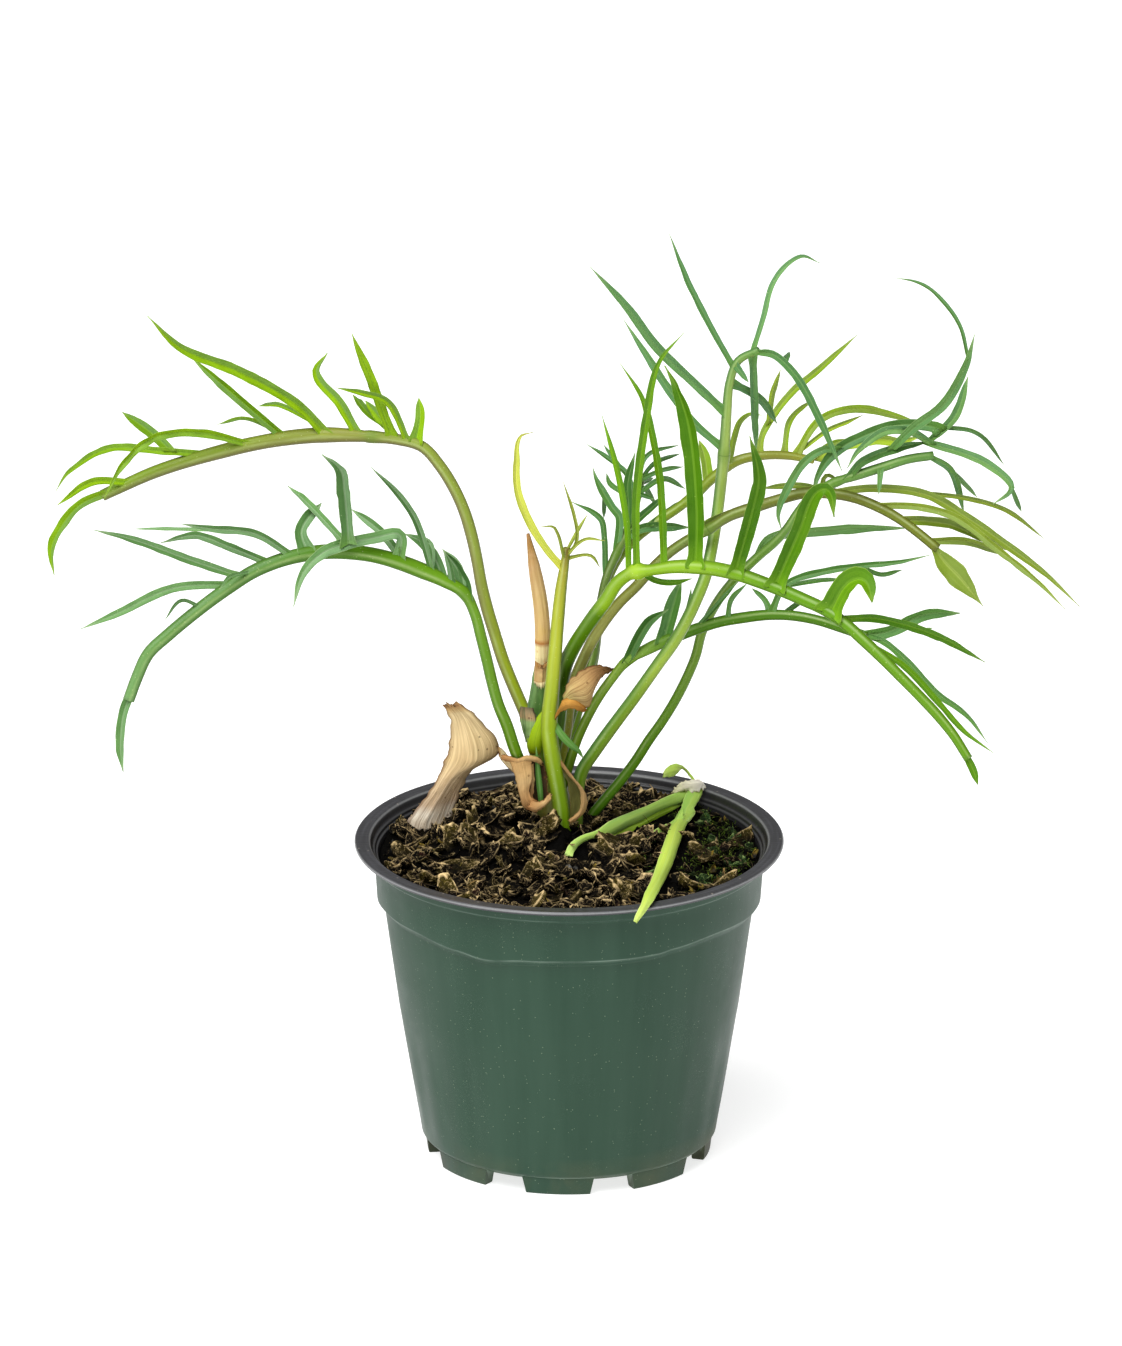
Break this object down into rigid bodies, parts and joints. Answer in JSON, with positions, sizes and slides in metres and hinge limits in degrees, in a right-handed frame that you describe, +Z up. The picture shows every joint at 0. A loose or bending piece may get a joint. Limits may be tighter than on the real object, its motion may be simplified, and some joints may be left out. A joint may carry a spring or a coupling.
{
  "type": "potted philodendron tortum",
  "caption": "Philodendron tortum with deeply cut, palm-like fronds on arching stalks, planted in a round green nursery pot with a flat lip and footed base.",
  "frame": {"origin": "on the pot's axis, at the underside of its feet, below the middle of the plant's spread", "axes": "+Z up, -Y towards the viewer, +X to the viewer's right along the plant's widest spread"},
  "size_m": [0.395, 0.2136, 0.3655],
  "materials": {
    "pot": "satin dark green with a charcoal lip and inside",
    "soil": "matte bark and peat potting mix",
    "stem": "green and tan stem tissue with leaf scars",
    "young_leaf": "fresh yellow-green stalk, unopened blades and the pale green broken leaf",
    "dry_sheath": "dry papery tan with fine veins",
    "bright_leaf": "satin bright green blades and stalk",
    "olive_leaf": "satin olive green blades and stalk",
    "dark_leaf": "satin dark green to blue-green blades and stalk"
  },
  "bodies": {
    "root": {"pot": "pot", "soil": "soil", "stem": "stem", "spike_sheath": "dry_sheath", "front_stalk": "young_leaf", "sheath_left": "dry_sheath", "sheath_front": "dry_sheath", "sheath_right": "dry_sheath", "fallen_leaf": "young_leaf", "frond_left_upper": "bright_leaf", "frond_left_lower": "dark_leaf", "frond_right_front": "bright_leaf", "frond_right_low": "dark_leaf", "frond_tall": "dark_leaf", "frond_olive": "olive_leaf", "frond_far_right": "dark_leaf", "frond_back_right": "olive_leaf", "frond_back_left": "dark_leaf"}
  },
  "joints": []
}
